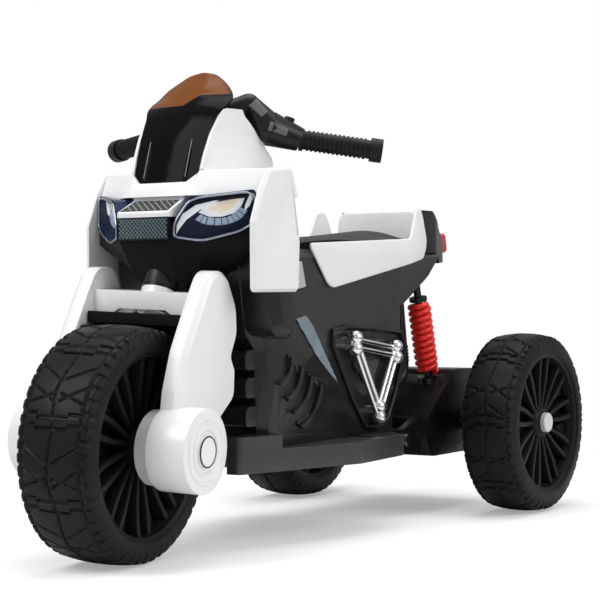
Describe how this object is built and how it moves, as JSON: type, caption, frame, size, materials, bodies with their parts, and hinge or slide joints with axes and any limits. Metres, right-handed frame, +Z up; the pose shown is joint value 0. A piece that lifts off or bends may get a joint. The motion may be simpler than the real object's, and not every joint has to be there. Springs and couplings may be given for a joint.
{
  "type": "kids electric motorbike",
  "caption": "Child's ride-on electric motorbike with a wide front wheel in a raked fork, a sprung rear axle with stabilising wheels, a screened fairing and a step-through saddle.",
  "frame": {"origin": "on the ground under the middle of the overall box", "axes": "+Z up, the front wheel towards -Y, the rider's left towards +X"},
  "size_m": [0.44, 0.8868, 0.55],
  "materials": {
    "white_shell": "gloss",
    "black_shell": "satin",
    "tyre_plastic": "satin",
    "grip_rubber": "matte",
    "amber_screen": "gloss",
    "clear_lens": "gloss",
    "led_glow": "gloss",
    "red_lens": "gloss",
    "red_spring": "gloss",
    "silver_trim": "bright metallised",
    "chromed_bolt": "polished",
    "steel": "satin",
    "black_metal": "satin",
    "grey_plastic": "satin",
    "nylon": "satin",
    "battery_case": "satin",
    "red_plastic": "gloss",
    "cable": "matte"
  },
  "bodies": {
    "chassis": {"chassis_left": "black_shell", "chassis_right": "black_shell", "head_bushes": "black_shell", "side_fairings": "white_shell", "nose_cowl": "white_shell", "screen_cheeks": "white_shell", "windscreen": "amber_screen", "dash_panel": "black_shell", "headlight_bowls": "black_shell", "headlight_lenses": "clear_lens", "headlight_leds": "led_glow", "nose_grilles": "black_shell", "chin_cowl": "black_shell", "engine_trims": "silver_trim", "flash_trims": "silver_trim", "exhaust_pipes": "black_shell", "footboard_left": "black_shell", "footboard_right": "black_shell", "charge_socket": "black_shell", "seat": "black_shell", "seat_back": "white_shell", "tail_panels": "white_shell", "tail_cap": "black_shell", "tail_light": "red_lens", "pivot_bolts": "chromed_bolt", "shock_rods": "black_metal", "shock_springs": "red_spring", "battery": "battery_case", "control_box": "black_shell", "wiring_harness": "cable"},
    "steering": {"fork_leg_left": "white_shell", "fork_leg_right": "white_shell", "fork_crown": "white_shell", "fork_spacers": "grey_plastic", "fork_axle_caps": "grey_plastic", "front_mudguard": "black_shell", "steering_stem": "black_metal", "handlebar": "black_shell", "grip_left": "grip_rubber", "grip_right": "grip_rubber", "front_axle": "steel", "front_axle_nuts": "steel"},
    "front_wheel": {"front_wheel": "tyre_plastic", "front_wheel_bushes": "nylon"},
    "rear_arm": {"axle_housing": "black_shell", "housing_cover": "black_shell", "rear_axle": "steel", "drive_motor": "steel"},
    "rear_wheel_left": {"rear_wheel_left": "tyre_plastic", "hub_cap_left": "grey_plastic"},
    "rear_wheel_right": {"rear_wheel_right": "tyre_plastic", "hub_cap_right": "grey_plastic", "wheel_gear": "nylon"},
    "reduction_gear": {"reduction_gear": "nylon"},
    "motor_pinion": {"motor_pinion": "nylon"},
    "accelerator_pedal": {"accelerator_pedal": "black_shell"},
    "horn_button": {"horn_button": "black_shell"},
    "music_button": {"music_button": "black_shell"},
    "power_switch": {"power_switch": "red_plastic"},
    "direction_switch": {"direction_switch": "red_plastic"}
  },
  "joints": [
    {"name": "steering_turn", "type": "hinge", "parent": "chassis", "child": "steering", "pos_m": [0, -0.301, 0.13], "axis": [0, 0.3746, 0.9272], "range_deg": [-26.3, 13.7]},
    {"name": "front_wheel_spin", "type": "hinge", "parent": "steering", "child": "front_wheel", "pos_m": [0.00122, -0.31294, 0.12997], "axis": [0.994, 0.1017, -0.0411], "continuous": true},
    {"name": "rear_suspension", "type": "hinge", "parent": "chassis", "child": "rear_arm", "pos_m": [0, 0.191, 0.099], "axis": [1, 0, 0], "range_deg": [0, 6], "stiffness_Nm_per_rad": 120, "springref_deg": -5.73, "deforming": ["shock_springs"]},
    {"name": "rear_wheel_left_spin", "type": "hinge", "parent": "rear_arm", "child": "rear_wheel_left", "pos_m": [0.182, 0.325, 0.118], "axis": [1, 0, 0], "continuous": true},
    {"name": "rear_wheel_right_spin", "type": "hinge", "parent": "rear_arm", "child": "rear_wheel_right", "pos_m": [-0.182, 0.325, 0.118], "axis": [1, 0, 0], "continuous": true},
    {"name": "reduction_gear_spin", "type": "hinge", "parent": "rear_arm", "child": "reduction_gear", "pos_m": [-0.061, 0.28364, 0.12529], "axis": [1, 0, 0], "continuous": true},
    {"name": "motor_pinion_spin", "type": "hinge", "parent": "rear_arm", "child": "motor_pinion", "pos_m": [-0.054, 0.30239, 0.15777], "axis": [1, 0, 0], "continuous": true},
    {"name": "pedal_press", "type": "hinge", "parent": "chassis", "child": "accelerator_pedal", "pos_m": [-0.098, 0.059, 0.1105], "axis": [1, 0, 0], "range_deg": [0, 8], "stiffness_Nm_per_rad": 1.2, "springref_deg": -8.59},
    {"name": "horn_press", "type": "slide", "parent": "steering", "child": "horn_button", "axis": [0.2514, 0.207, 0.9455], "range_m": [-0.002, 0], "stiffness_N_per_m": 200, "springref_m": 0.003},
    {"name": "music_press", "type": "slide", "parent": "steering", "child": "music_button", "axis": [-0.21, 0.1598, 0.9646], "range_m": [-0.002, 0], "stiffness_N_per_m": 200, "springref_m": 0.003},
    {"name": "power_rock", "type": "hinge", "parent": "chassis", "child": "power_switch", "pos_m": [0.024, -0.075, 0.34325], "axis": [1, 0, 0], "range_deg": [-8, 8]},
    {"name": "direction_rock", "type": "hinge", "parent": "chassis", "child": "direction_switch", "pos_m": [-0.024, -0.075, 0.34325], "axis": [1, 0, 0], "range_deg": [-8, 8]}
  ],
  "couplings": [
    {"joint": "reduction_gear_spin", "follows": "rear_wheel_right_spin", "ratio": -3},
    {"joint": "motor_pinion_spin", "follows": "rear_wheel_right_spin", "ratio": 12}
  ]
}
